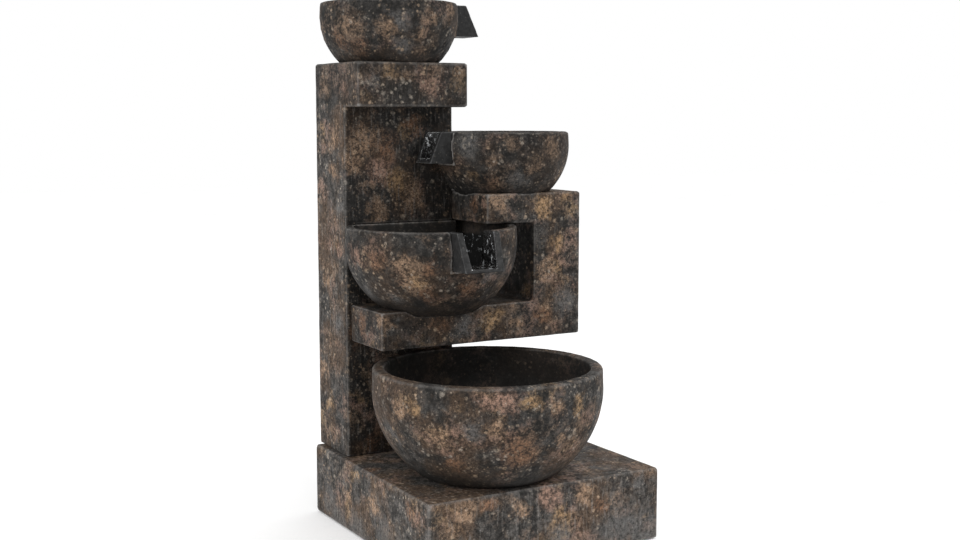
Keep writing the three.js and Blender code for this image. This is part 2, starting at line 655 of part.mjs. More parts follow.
// ---------- assembly ----------
const looks = {
  castStone: { color: 0x5d544b, roughness: 0.85, metalness: 0 },
  spoutStone: { color: 0x2e2d2c, roughness: 0.6, metalness: 0 },
  blackPlastic: { color: 0x1b1c1e, roughness: 0.5, metalness: 0 },
  greyPlastic: { color: 0x4a4d50, roughness: 0.5, metalness: 0 },
  rubber: { color: 0x151515, roughness: 0.9, metalness: 0 },
  steel: { color: 0xa9abad, roughness: 0.35, metalness: 1 },
  vinyl: { color: 0x39403f, roughness: 0.4, metalness: 0 },
};

const pieces = [
  ['plinth_shell', makePlinth(), 'castStone'],
  ['base_plate', makeBasePlate(), 'greyPlastic'],
  ['reservoir_tub', makeTub(), 'blackPlastic'],
  ['reservoir_drain_plug', makeDrainPlug(), 'rubber'],
  ['column_shell', makeColumn(), 'castStone'],
  ['top_ledge', makeLedge(), 'castStone'],
  ['side_frame', makeFrame(), 'castStone'],
  ['side_frame_cover', makeFrameCover(), 'greyPlastic'],
  ['basin_bowl', makeBasin(), 'castStone'],
  ['lower_bowl', makeLowerBowl(), 'castStone'],
  ['upper_bowl', makeUpperBowl(), 'castStone'],
  ['top_bowl', makeTopBowl(), 'castStone'],
  ['lower_spout', spoutPiece(lowerSpout, lowerBowl, TURN_FRONT), 'spoutStone'],
  ['upper_spout', spoutPiece(upperSpout, upperBowl, TURN_LEFT), 'spoutStone'],
  ['top_spout', spoutPiece(topSpout, topBowl, TURN_RIGHT), 'spoutStone'],
  ['lower_bowl_bolt', makeBowlBolt(lowerBowl, armCeiling.low - armCeiling.boltBelow), 'steel'],
  ['lower_bowl_washer', makeBowlWasher(lowerBowl), 'rubber'],
  ['lower_bowl_nut', makeBowlNut(lowerBowl, armCeiling.low), 'steel'],
  ['upper_bowl_bolt', makeBowlBolt(upperBowl, armCeiling.high - armCeiling.boltBelow), 'steel'],
  ['upper_bowl_washer', makeBowlWasher(upperBowl), 'rubber'],
  ['upper_bowl_nut', makeBowlNut(upperBowl, armCeiling.high), 'steel'],
  ['basin_drain_fitting', makeDrainFitting(), 'blackPlastic'],
  ['basin_drain_gasket', makeDrainGasket(), 'rubber'],
  ['basin_drain_nut', makeDrainNut(), 'blackPlastic'],
  ['basin_strainer', makeStrainer(), 'blackPlastic'],
  ['inlet_fitting', makeInletFitting(), 'blackPlastic'],
  ['inlet_gasket', makeInletGasket(), 'rubber'],
  ['inlet_nut', makeInletNut(), 'blackPlastic'],
  ['riser_hose', makeHose(), 'vinyl'],
  ['hose_clamp_low', makeHoseClamp(outletX, outletY, 87), 'steel'],
  ['hose_clamp_high', makeHoseClamp(topBowl.x, topBowl.y, 822), 'steel'],
  ['pump_body', makePumpBody(), 'blackPlastic'],
  ['pump_cover', makePumpCover(), 'blackPlastic'],
  ['pump_shaft', makePumpShaft(), 'steel'],
  ['pump_impeller', makeImpeller(), 'greyPlastic'],
  ['pump_flow_dial', makeFlowDial(), 'greyPlastic'],
  ['access_door', makeDoor(), 'greyPlastic'],
  ['door_pin_low', makeHingePin(false), 'steel'],
  ['door_pin_high', makeHingePin(true), 'steel'],
  ['cable_gland', makeGland(), 'blackPlastic'],
];
footSpots.forEach((spot, i) => pieces.push([`foot_${i + 1}`, makeFoot(spot), 'rubber']));
cupSpots.forEach((spot, i) => pieces.push([`pump_cup_${i + 1}`, makeCup(spot), 'rubber']));
frontBoltSpots.forEach((spot, i) => pieces.push([`frame_front_bolt_${i + 1}`, makeFrontBolt(spot), 'steel']));
sideBoltSpots.forEach((spot, i) => pieces.push([`frame_side_bolt_${i + 1}`, makeSideBolt(spot), 'steel']));
anchorSpots.forEach((spot, i) => pieces.push([`column_anchor_${i + 1}`, makeAnchor(spot), 'steel']));
coverScrewSpots.forEach((spot, i) => pieces.push([`cover_screw_${i + 1}`, makeCoverScrew(spot), 'steel']));

// Middle of the footprint: from the basin's left to the plinth's right,
// and from the basin's front to the top bowl's back.
const middleX = (basin.x - basin.radius + plinth.x) / 2;
const middleY = (basin.y - basin.radius + topBowl.y + topBowl.radius) / 2;

const fountain = new THREE.Group();
fountain.name = 'tiered_fountain';
for (const [name, solid, look] of pieces) {
  const geometry = toGeometry(solid);
  geometry.translate(-middleX, -middleY, 0);
  const mesh = new THREE.Mesh(geometry, new THREE.MeshStandardMaterial(looks[look]));
  mesh.name = name;
  fountain.add(mesh);
}

export default fountain;
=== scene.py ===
"""Tiered stone-look water fountain: the looks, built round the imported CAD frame. Metres, +Z up."""

import json
import math

import bmesh
import bpy
import numpy as np
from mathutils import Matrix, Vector


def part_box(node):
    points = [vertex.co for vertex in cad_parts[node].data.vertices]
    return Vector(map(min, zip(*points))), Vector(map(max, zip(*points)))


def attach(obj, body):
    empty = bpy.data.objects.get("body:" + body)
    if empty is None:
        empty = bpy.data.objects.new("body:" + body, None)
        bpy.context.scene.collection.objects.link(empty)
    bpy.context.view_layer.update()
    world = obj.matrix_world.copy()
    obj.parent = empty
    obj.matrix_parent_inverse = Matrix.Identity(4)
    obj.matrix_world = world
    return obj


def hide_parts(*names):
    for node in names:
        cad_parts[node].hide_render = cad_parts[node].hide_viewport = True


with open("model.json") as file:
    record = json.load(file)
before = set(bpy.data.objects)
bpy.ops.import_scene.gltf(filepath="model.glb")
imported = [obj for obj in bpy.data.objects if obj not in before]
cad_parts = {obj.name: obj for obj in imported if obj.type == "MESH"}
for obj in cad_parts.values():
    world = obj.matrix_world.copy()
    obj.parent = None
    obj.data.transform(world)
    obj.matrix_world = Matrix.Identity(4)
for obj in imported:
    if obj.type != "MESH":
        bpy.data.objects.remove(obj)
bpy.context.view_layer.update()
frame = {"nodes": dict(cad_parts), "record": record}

MM = 0.001

# ---------- driving sizes ----------
# Cells of the grids that round the pieces' edges: finer for smaller pieces.
PLINTH_VOXEL = 4.2 * MM
BLOCK_VOXEL = 3.0 * MM
BASIN_VOXEL = 3.4 * MM
BOWL_VOXEL = 2.6 * MM
SPOUT_VOXEL = 1.5 * MM
COLLAR = 5.0 * MM           # raised collar of bowl material round each spout
COLLAR_REACH = 9.0 * MM     # how far the collar stands out from the bowl's wall
COLLAR_LOW = 1.0 * MM       # how far below the rim the collar ends
COLLAR_STEPS = 8            # straight steps in the collar's curved profile
TURN_SIDES = 96             # sides of a turned solid
OVERSHOOT = 0.1             # how far a cutting core runs past what it cuts, in metres
TUCK = 6.0 * MM             # how far the upper bowl's cut faces run into the column
GAP = 0.3 * MM              # clearance between a spout and its notch
WET_LINE = 22.0 * MM        # how far below a bowl's rim its inside is dark and wet
SPLASH = 78.0 * MM          # how far below a bowl's rim the splashed band with its painted glints reaches
BURIED = 9.0 * MM           # how far the column's top runs up into the ledge
UNEVEN = 0.9 * MM           # height of the hand-finished waviness of the cast faces
SPOUT_UNEVEN = 0.6 * MM
BLOCK_WAVES = 32.0 * MM     # size of that waviness along the face
BOWL_WAVES = 28.0 * MM
SPOUT_WAVES = 9.0 * MM
LIP_TAPER = 1.5 * MM        # how far a bowl's wall leans in from belly to rim
SPOUT_HEADROOM = 4.0 * MM   # how far a spout's cutting hull rises past its rim
CHANNEL_SLACK = 0.8 * MM    # how far round its edges a channel still counts as wet
WELD = 0.01 * MM            # corners nearer than this are one
NEAR = 1.0 * MM             # a point this near a face counts as on it
END_MARGIN = 3.0 * MM       # a bowl's rim and foot, which snap_round leaves alone

# Between these shares of the true ellipse a point is on the bowl's wall, outside and inside.
OUTER_BAND = (0.940, 1.006)
INNER_BAND = (0.940, 1.010)

# Each bowl is an ellipse turned about an upright axis. belly and drop are the widest ring's depth
# below the rim and the ellipse's half height.
BOWLS = {
    "top_bowl": dict(wall=15 * MM, belly=27.0 * MM, drop=125.0 * MM),
    "upper_bowl": dict(wall=15 * MM, belly=26.7 * MM, drop=127.5 * MM),
    "lower_bowl": dict(wall=15 * MM, belly=32.6 * MM, drop=150.3 * MM),
    "basin_bowl": dict(wall=24 * MM, belly=37.5 * MM, drop=200.0 * MM),
}

# Each spout pours one way from its bowl. channel holds its half widths at rim and floor height, and
# floor is the thickness under it.
SPOUTS = {
    "top_spout": dict(bowl="top_bowl", way=(1, 0), channel=(25.0 * MM, 20.0 * MM), floor=6 * MM),
    "upper_spout": dict(bowl="upper_bowl", way=(-1, 0), channel=(25.0 * MM, 20.0 * MM), floor=6 * MM),
    "lower_spout": dict(bowl="lower_bowl", way=(0, -1), channel=(32.0 * MM, 25.5 * MM), floor=7 * MM),
}

# ---------- stone colours, linear ----------
CHARCOAL = (0.020, 0.019, 0.018)
SLATE = (0.072, 0.067, 0.063)
UMBER = (0.082, 0.052, 0.033)
PALE = (0.275, 0.242, 0.205)
SAND = (0.33, 0.24, 0.165)
WORN = (0.215, 0.205, 0.195)
TINTS = {
    "tan": (0.255, 0.168, 0.110),
    "pink": (0.270, 0.168, 0.126),
    "ochre": (0.290, 0.186, 0.100),
    "rust": (0.160, 0.088, 0.052),
    "grey": (0.105, 0.102, 0.100),
    "plain": (0.098, 0.096, 0.094),
    # dark is the stone's dark patches, and also the colour of painted shade
    "dark": (0.016, 0.015, 0.014),
}
GLOSS = 0.14                # strength of the stone's mirror-like share
FOOT_SHADE = 0.75           # how far a bowl darkens towards its foot
INSIDE_SHADE = 0.72         # how far a bowl's inside is darkened
MARK_EDGE, MARK_CORE = 1.25, 0.25   # shares of a mark's radius, stain or painted shade, where it is gone, and where it is full


# ---------- meshes ----------
def cad_mesh(node, name):
    """A welded copy of a CAD node's mesh, as a new object."""
    mesh = frame["nodes"][node].data.copy()
    mesh.materials.clear()
    shape = bmesh.new()
    shape.from_mesh(mesh)
    bmesh.ops.remove_doubles(shape, verts=shape.verts, dist=WELD)
    shape.to_mesh(mesh)
    shape.free()
    piece = bpy.data.objects.new(name, mesh)
    bpy.context.scene.collection.objects.link(piece)
    return piece


def settle(piece):
    """Applies every modifier on a piece."""
    graph = bpy.context.evaluated_depsgraph_get()
    mesh = bpy.data.meshes.new_from_object(piece.evaluated_get(graph))
    piece.modifiers.clear()
    piece.data = mesh


def soften(piece, rounds):
    """Adds a smoothing modifier."""
    soft = piece.modifiers.new("soft", "SMOOTH")
    soft.factor = 0.5
    soft.iterations = rounds


def round_over(piece, voxel, rounds):
    """Rounds a piece's edges: rebuilds it on an even grid, then smooths it."""
    grid = piece.modifiers.new("grid", "REMESH")
    grid.mode = "VOXEL"
    grid.voxel_size = voxel
    soften(piece, rounds)
    settle(piece)


def weather(piece, height, size):
    """Gives a cast face its slight waviness, of a height and a size along the face."""
    clouds = bpy.data.textures.new(piece.name + "_waves", "CLOUDS")
    clouds.noise_scale = size
    clouds.noise_depth = 3
    waves = piece.modifiers.new("waves", "DISPLACE")
    waves.texture = clouds
    waves.strength = height
    waves.mid_level = 0.5
    settle(piece)
    for face in piece.data.polygons:
        face.use_smooth = True


def middle(node):
    """A bowl's axis, radius, foot and rim, from its node's box: no cut reaches its left, right or front."""
    low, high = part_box(node)
    radius = (high.x - low.x) / 2
    return Vector(((low.x + high.x) / 2, low.y + radius)), radius, low.z, high.z


def hull_of(node, grow):
    """The convex solid round a spout, grown sideways and down, and raised past its rim."""
    low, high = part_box(node)
    centre = (low + high) / 2
    shape = bmesh.new()
    shape.from_mesh(frame["nodes"][node].data)
    found = bmesh.ops.convex_hull(shape, input=shape.verts)
    spare = set(found["geom_interior"]) | set(found["geom_unused"])
    loose = [part for part in spare if isinstance(part, bmesh.types.BMVert)]
    bmesh.ops.delete(shape, geom=loose, context="VERTS")
    bmesh.ops.remove_doubles(shape, verts=shape.verts, dist=WELD)
    way = SPOUTS[node]["way"]
    for corner in shape.verts:
        off = corner.co - centre
        across = off.y if way[0] else off.x
        side = math.copysign(grow, across)
        corner.co += Vector((0, side, 0)) if way[0] else Vector((side, 0, 0))
        corner.co.z += SPOUT_HEADROOM if off.z > 0 else -grow
    mesh = bpy.data.meshes.new("hull")
    shape.to_mesh(mesh)
    shape.free()
    hull = bpy.data.objects.new("hull", mesh)
    bpy.context.scene.collection.objects.link(hull)
    return hull


def turned(profile, axis):
    """A solid of revolution from [radius, height] pairs that start and end on the axis."""
    shape = bmesh.new()
    rings = []
    for radius, height in profile:
        if radius == 0:
            rings.append([shape.verts.new((axis.x, axis.y, height))])
            continue
        ring = []
        for i in range(TURN_SIDES):
            turn = 2 * math.pi * i / TURN_SIDES
            x, y = axis.x + radius * math.cos(turn), axis.y + radius * math.sin(turn)
            ring.append(shape.verts.new((x, y, height)))
        rings.append(ring)
    for lower, upper in zip(rings, rings[1:]):
        for i in range(TURN_SIDES):
            j = (i + 1) % TURN_SIDES
            corners = [lower[i % len(lower)], lower[j % len(lower)]]
            corners += [upper[j % len(upper)], upper[i % len(upper)]]
            shape.faces.new(list(dict.fromkeys(corners)))   # a ring on the axis is one point
    bmesh.ops.recalc_face_normals(shape, faces=shape.faces)
    mesh = bpy.data.meshes.new("turned")
    shape.to_mesh(mesh)
    shape.free()
    piece = bpy.data.objects.new("turned", mesh)
    bpy.context.scene.collection.objects.link(piece)
    return piece


def combine(piece, tool, operation):
    """Joins, cuts or keeps the common part of two solids, and removes the tool."""
    cut = piece.modifiers.new("cut", "BOOLEAN")
    cut.operation = operation
    cut.solver = "EXACT"
    cut.object = tool
    settle(piece)
    bpy.data.objects.remove(tool)


def collar_for(spout):
    """The raised band of bowl material round a spout: the spout's grown hull inside a larger bowl."""
    bowl = SPOUTS[spout]["bowl"]
    axis, radius, foot, rim = middle(bowl)
    spec = BOWLS[bowl]
    belly = rim - spec["belly"]
    reach, drop = radius + COLLAR_REACH, spec["drop"] + COLLAR_REACH
    profile = [(0, foot)]
    for i in range(COLLAR_STEPS + 1):
        angle = math.asin(min(1, (belly - foot) / drop)) * (1 - i / COLLAR_STEPS)
        profile.append((reach * math.cos(angle), belly - drop * math.sin(angle)))
    profile += [(reach - LIP_TAPER, rim - COLLAR_LOW), (0, rim - COLLAR_LOW)]
    collar = turned(profile, axis)
    combine(collar, hull_of(spout, COLLAR), "INTERSECT")
    bore, low, high = radius - spec["wall"], foot - OVERSHOOT, rim + OVERSHOOT
    combine(collar, turned([(0, low), (bore, low), (bore, high), (0, high)], axis), "DIFFERENCE")
    return collar


def snap_round(piece, node):
    """Moves the wall's points from the CAD's flat facets onto the true turned ellipse, inside and out."""
    axis, radius, foot, rim = middle(node)
    spec = BOWLS[node]
    belly = rim - spec["belly"]
    points = np.empty(len(piece.data.vertices) * 3)
    piece.data.vertices.foreach_get("co", points)
    points = points.reshape(-1, 3)
    off = points - np.array([axis.x, axis.y, belly])
    for inset, (low, high) in ((0.0, OUTER_BAND), (spec["wall"], INNER_BAND)):
        wide, deep = radius - inset, spec["drop"] - inset
        taper = 0.0 if inset else LIP_TAPER
        flat = np.hypot(off[:, 0], off[:, 1])
        above = np.clip(off[:, 2], 0, None)
        below = np.clip(off[:, 2], None, 0)
        edge = wide - taper * above / spec["belly"]
        share = np.sqrt((flat / edge) ** 2 + (below / deep) ** 2)
        on_wall = (share > low) & (share < high)
        off_ends = (points[:, 2] < rim - END_MARGIN) & (points[:, 2] > foot + END_MARGIN)
        factor = np.where(on_wall & off_ends, 1 / share, 1.0)
        off[:, 0] *= factor
        off[:, 1] *= factor
        off[:, 2] = np.where(off[:, 2] < 0, off[:, 2] * factor, off[:, 2])
    points = off + np.array([axis.x, axis.y, belly])
    piece.data.vertices.foreach_set("co", points.ravel())
    piece.data.update()


def close_corner(piece):
    """Runs the faces of the upper bowl that meet the column a little way into it, so no gap shows."""
    low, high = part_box("column_shell")
    for corner in piece.data.vertices:
        spot = corner.co
        if abs(spot.x - high.x) < NEAR and spot.y > low.y - NEAR:
            spot.x -= TUCK
        if abs(spot.y - low.y) < NEAR and spot.x < high.x + NEAR:
            spot.y += TUCK


def make_bowl(node):
    """A bowl with a collar and a notch for its spout, rounded, made truly round and weathered."""
    piece = cad_mesh(node, node + "_stone")
    if node == "upper_bowl":
        close_corner(piece)
    for spout, spec in SPOUTS.items():
        if spec["bowl"] == node:
            combine(piece, collar_for(spout), "UNION")
            combine(piece, hull_of(spout, GAP), "DIFFERENCE")
    round_over(piece, BASIN_VOXEL if node == "basin_bowl" else BOWL_VOXEL, 1)
    snap_round(piece, node)
    soften(piece, 2)
    settle(piece)
    weather(piece, UNEVEN, BOWL_WAVES)
    return piece


def bury_top(piece):
    """Runs the column's top a little way up into the ledge, so the joint between them is closed."""
    top = max(corner.co.z for corner in piece.data.vertices)
    for corner in piece.data.vertices:
        if corner.co.z > top - NEAR:
            corner.co.z += BURIED


def make_block(node):
    """The plinth, column, ledge or side frame, rounded and weathered."""
    piece = cad_mesh(node, node + "_stone")
    if node == "column_shell":
        bury_top(piece)
    round_over(piece, PLINTH_VOXEL if node == "plinth_shell" else BLOCK_VOXEL, 2)
    weather(piece, UNEVEN, BLOCK_WAVES)
    return piece


def make_spout(node):
    """A spout, rounded and weathered. mark_channel then picks out its wet faces."""
    piece = cad_mesh(node, node + "_stone")
    round_over(piece, SPOUT_VOXEL, 2)
    weather(piece, SPOUT_UNEVEN, SPOUT_WAVES)
    return piece


def mark_channel(piece, node):
    """Gives the faces inside the channel the second material."""
    low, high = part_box(node)
    spec = SPOUTS[node]
    along_x = spec["way"][0] != 0
    centre = (low.y + high.y) / 2 if along_x else (low.x + high.x) / 2
    wide, narrow = spec["channel"]
    for face in piece.data.polygons:
        across = abs((face.center.y if along_x else face.center.x) - centre)
        rise = (face.center.z - low.z) / (high.z - low.z)
        half = narrow + (wide - narrow) * rise
        above_floor = face.center.z > low.z + spec["floor"] - CHANNEL_SLACK
        if above_floor and across < half + CHANNEL_SLACK:
            face.material_index = 1


# ---------- material graphs ----------
class Graph:
    """A small helper for one procedural material."""

    def __init__(self, name):
        self.material = bpy.data.materials.new(name)
        self.material.use_nodes = True
        self.nodes = self.material.node_tree.nodes
        self.links = self.material.node_tree.links
        self.shader = self.nodes["Principled BSDF"]
        self.place = self.add("ShaderNodeTexCoord").outputs["Object"]

    def add(self, kind, inputs=None, **settings):
        """A new node with its settings and inputs: values, or other nodes' outputs."""
        node = self.nodes.new(kind)
        for key, value in settings.items():
            setattr(node, key, value)
        for key, value in (inputs or {}).items():
            self.put(node.inputs[key], value)
        return node

    def put(self, socket, value):
        if isinstance(value, bpy.types.NodeSocket):
            self.links.new(value, socket)
        elif isinstance(value, tuple) and len(value) == 3 and socket.type == "RGBA":
            socket.default_value = (*value, 1.0)
        else:
            socket.default_value = value

    def noise(self, scale, detail=4.0, rough=0.6, where=None):
        inputs = {"Vector": where or self.place, "Scale": scale, "Detail": detail, "Roughness": rough}
        return self.add("ShaderNodeTexNoise", inputs).outputs["Fac"]

    def vector(self, operation, *values):
        """Vector arithmetic: a vector, or for a distance its single value."""
        node = self.add("ShaderNodeVectorMath", dict(enumerate(values)), operation=operation)
        return node.outputs["Value" if operation == "DISTANCE" else "Vector"]

    def stretch(self, factors):
        """Places for a pattern that is drawn out along an axis: the smaller its factor, the longer."""
        return self.vector("MULTIPLY", self.place, factors)

    def math(self, operation, a, b=0.0):
        return self.add("ShaderNodeMath", {0: a, 1: b}, operation=operation).outputs[0]

    def times(self, a, b):
        return self.math("MULTIPLY", a, b)

    def ramp(self, value, low, high, to_low=0.0, to_high=1.0):
        """A smooth step from to_low at low to to_high at high."""
        node = self.add(
            "ShaderNodeMapRange",
            {"Value": value, "From Min": low, "From Max": high, "To Min": to_low, "To Max": to_high},
            interpolation_type="SMOOTHSTEP",
        )
        return node.outputs["Result"]

    def mix(self, factor, a, b, blend="MIX"):
        node = self.add("ShaderNodeMix", data_type="RGBA", blend_type=blend, clamp_factor=True)
        self.put(node.inputs[0], factor)
        self.put(node.inputs[6], a)
        self.put(node.inputs[7], b)
        return node.outputs[2]

    def dots(self, scale, size, share, where=None):
        """Round dots of uneven size in a share of the cells of a 3-D grid."""
        inputs = {"Vector": where or self.place, "Scale": scale, "Randomness": 1.0}
        cells = self.add("ShaderNodeTexVoronoi", inputs)
        split = self.add("ShaderNodeSeparateColor", {0: cells.outputs["Color"]})
        lucky = self.ramp(split.outputs[0], 1 - share, 1 - share + 0.12)
        radius = self.ramp(split.outputs[1], 0, 1, size * 0.45, size)
        spot = self.math("SUBTRACT", radius, cells.outputs["Distance"])
        spot = self.ramp(spot, 0.0, size * 0.5)
        return self.times(spot, lucky)

    def finish(self, colour, rough, bump=None, distance=0.4 * MM, strength=1.0):
        """Wires colour, roughness and relief into the shader, and returns the material."""
        self.links.new(colour, self.shader.inputs["Base Color"])
        self.put(self.shader.inputs["Roughness"], rough)
        if bump is not None:
            node = self.add("ShaderNodeBump", {"Height": bump, "Distance": distance, "Strength": strength})
            self.links.new(node.outputs[0], self.shader.inputs["Normal"])
        return self.material


def stain_and_shade_masks(g, stains_and_shades, box, warped):
    """One soft mask for each tint: the largest of its stains and painted shade marks, each placed by shares
    of the node's box.
    """
    low, high = box
    masks = {}
    for fx, fy, fz, radius, tint in stains_and_shades:
        spot = (
            low.x + (high.x - low.x) * fx,
            low.y + (high.y - low.y) * fy,
            low.z + (high.z - low.z) * fz,
        )
        away = g.vector("DISTANCE", warped, spot)
        mask = g.ramp(away, radius * MARK_EDGE * MM, radius * MARK_CORE * MM)
        masks[tint] = g.math("MAXIMUM", masks[tint], mask) if tint in masks else mask
    return masks


def wet_inside(g, colour, height, inside):
    """Darkens a bowl's inside with painted shade, and wets it from a line below the rim, with painted glints
    in the splashed band.
    """
    axis, rim = inside["axis"], inside["rim"]
    flat = g.vector("MULTIPLY", g.place, (1.0, 1.0, 0.0))
    away = g.vector("DISTANCE", flat, (axis.x, axis.y, 0.0))
    sunk = g.math("MINIMUM", g.math("SUBTRACT", height, inside["belly"]), 0.0)
    below = g.math("DIVIDE", sunk, inside["drop"])
    across = g.math("DIVIDE", away, inside["radius"])
    share = g.math("SQRT", g.math("ADD", g.times(below, below), g.times(across, across)))
    within = g.times(g.ramp(share, 1.05, 1.03), g.ramp(height, rim, rim - 5 * MM))
    # painted shade inside the bowl
    colour = g.mix(g.times(within, INSIDE_SHADE), colour, TINTS["dark"])
    glints_and_wetness = inside["glints_and_wetness"]
    # painted glints: pale specks in the colour, as if the wet film caught the light
    painted_glint = g.ramp(g.noise(1.0, 5.0, 0.75, g.stretch((105.0, 105.0, 80.0))), 0.58, 0.66, 0.0, glints_and_wetness)
    painted_glint = g.times(painted_glint, g.ramp(height, rim - SPLASH, rim - SPLASH + 20 * MM, 0.06, 0.85))
    wetness = g.ramp(height, rim - WET_LINE, rim - WET_LINE - 9 * MM, 0.0, 0.25 + 0.75 * glints_and_wetness)
    return g.mix(g.times(within, wetness), colour, g.mix(painted_glint, (0.006, 0.006, 0.006), (0.40, 0.41, 0.42)))


def stone(name, node, stains_and_shades, tone, warmth, streaks=0.0, foot_shade=0.0, inside=None):
    """Weathered cast stone: charcoal ground, soft warm stains, pale spatter, fine grain and worn edges, with
    painted light and shade by face, painted shade in creases, placed marks, at a bowl's foot and inside, and
    painted glints in a bowl's wet band.
    """
    g = Graph(name)
    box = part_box(node)
    inputs = {"Vector": g.place, "Scale": 24.0, "Detail": 5.0, "Roughness": 0.7}
    wobble = g.add("ShaderNodeTexNoise", inputs).outputs["Color"]
    shift = g.vector("SUBTRACT", wobble, (0.5, 0.5, 0.5))
    warped = g.vector("MULTIPLY_ADD", shift, (0.085, 0.085, 0.085), g.place)
    curled = g.vector("MULTIPLY_ADD", shift, (0.012, 0.012, 0.012), g.place)

    drift = g.noise(8.0, 5.0, 0.62)
    mottle = g.noise(52.0, 6.0, 0.72)
    grit = g.noise(185.0, 5.0, 0.78)
    fine = g.noise(560.0, 3.0, 0.75)
    streak = g.noise(1.0, 5.0, 0.72, g.stretch((210.0, 210.0, 24.0)))

    # ground: charcoal to slate, with brown drifts
    ground = g.mix(g.ramp(mottle, 0.38, 0.64), CHARCOAL, SLATE)
    ground = g.mix(g.ramp(drift, 0.45, 0.60, 0.0, 0.7 * warmth), ground, UMBER)

    where = g.add("ShaderNodeSeparateXYZ", {0: g.place})
    height = where.outputs[2]
    # Painted light and shade by face: the front face takes its own lightness, darker than the rest on the
    # column and ledge and lighter on the side frame.
    front, rest = (math.sqrt(share) for share in tone)
    level = g.ramp(where.outputs[1], box[0].y + 3 * MM, box[0].y + 7 * MM, front, rest)
    level = g.add("ShaderNodeCombineColor", {0: level, 1: level, 2: level}).outputs[0]
    ground = g.mix(1.0, ground, level, "MULTIPLY")

    # warm stains of the stone's own, then the placed stains and painted shade marks on top
    broken = g.ramp(g.math("ADD", mottle, g.times(grit, 0.6)), 0.66, 0.96)
    hue = g.noise(12.0, 3.0, 0.5, g.stretch((1.0, 1.15, 0.9)))
    warm = g.mix(g.ramp(hue, 0.42, 0.52), TINTS["tan"], TINTS["pink"])
    warm = g.mix(g.ramp(hue, 0.55, 0.63), warm, TINTS["ochre"])
    own = g.ramp(g.noise(12.5, 5.0, 0.62, g.stretch((1.1, 0.95, 1.05))), 0.47, 0.64)
    colour = g.mix(g.times(own, g.ramp(broken, 0.0, 1.0, 0.03, 0.60 * warmth)), ground, warm)
    masks = stain_and_shade_masks(g, stains_and_shades, box, warped)
    # grey, plain and dark marks; the dark ones are partly painted shade
    for tint in ("grey", "plain", "dark"):
        if tint in masks:
            share = g.times(masks[tint], g.ramp(mottle, 0.3, 0.6, 0.95, 0.60))
            colour = g.mix(share, colour, TINTS[tint])
    for tint in ("rust", "tan", "pink", "ochre"):
        if tint in masks:
            share = g.times(masks[tint], g.ramp(broken, 0.0, 0.85, 0.26 * warmth, 0.95 * warmth))
            colour = g.mix(share, colour, TINTS[tint])

    # spatter: round soft dots in clusters, coarse and fine, sandy where the stone is warm
    dot_colour = g.mix(g.ramp(g.noise(16.0, 3.0, 0.5), 0.44, 0.60), PALE, SAND)
    cluster = g.ramp(g.noise(17.0, 4.0, 0.65), 0.40, 0.58, 0.04, 1.0)
    torn = g.ramp(grit, 0.36, 0.52, 0.40, 1.0)
    if "plain" in masks:
        torn = g.times(torn, g.ramp(masks["plain"], 0.0, 0.7, 1.0, 0.15))
    coarse = g.times(g.dots(60.0, 0.40, 0.62, curled), g.times(cluster, 0.66))
    middling = g.times(g.dots(104.0, 0.46, 0.58, curled), g.ramp(cluster, 0.0, 1.0, 0.16, 0.74))
    small = g.times(g.dots(190.0, 0.50, 0.50), g.ramp(mottle, 0.40, 0.60, 0.10, 0.58))
    spatter = g.times(g.math("MAXIMUM", g.math("MAXIMUM", coarse, middling), small), torn)
    colour = g.mix(spatter, colour, dot_colour)
    if streaks:
        colour = g.mix(g.times(g.ramp(streak, 0.52, 0.68), streaks), colour, WORN)
        colour = g.mix(g.times(g.ramp(streak, 0.47, 0.34), streaks * 0.8), colour, CHARCOAL)

    # small dark pits and fine grain
    colour = g.mix(g.ramp(grit, 0.45, 0.34, 0.0, 0.8), colour, CHARCOAL)
    grain = g.mix(g.ramp(fine, 0.3, 0.7), (0.62, 0.62, 0.62), (1.38, 1.37, 1.35))
    colour = g.mix(1.0, colour, grain, "MULTIPLY")
    patch = g.mix(g.ramp(grit, 0.36, 0.64), (0.60, 0.60, 0.60), (1.42, 1.41, 1.40))
    colour = g.mix(1.0, colour, patch, "MULTIPLY")
    colour = g.mix(1.0, colour, level, "MULTIPLY")

    # worn edges, and painted shade in the creases, by how sharply the surface bends
    bend = g.add("ShaderNodeNewGeometry").outputs["Pointiness"]
    worn = g.times(g.ramp(bend, 0.515, 0.575), g.ramp(mottle, 0.36, 0.60, 0.25, 0.85))
    colour = g.mix(worn, colour, WORN)
    # painted shade: the creases darkened where the surface bends inwards
    colour = g.mix(g.ramp(bend, 0.490, 0.455, 0.0, 0.85), colour, TINTS["dark"])

    # painted shade, darker towards a bowl's foot
    if foot_shade:
        base = box[0].z
        rise = g.math("SUBTRACT", height, g.times(mottle, 0.03))
        colour = g.mix(g.ramp(rise, base + 0.045, base - 0.01, 0.0, foot_shade), colour, TINTS["dark"])
    if inside:
        colour = wet_inside(g, colour, height, inside)

    relief = g.math("ADD", g.times(grit, 0.7), g.times(fine, 0.25))
    relief = g.math("ADD", relief, g.times(spatter, 0.35))
    g.shader.inputs["Specular IOR Level"].default_value = GLOSS
    return g.finish(colour, g.ramp(mottle, 0.3, 0.7, 0.80, 0.62), relief, 0.9 * MM, 0.6)


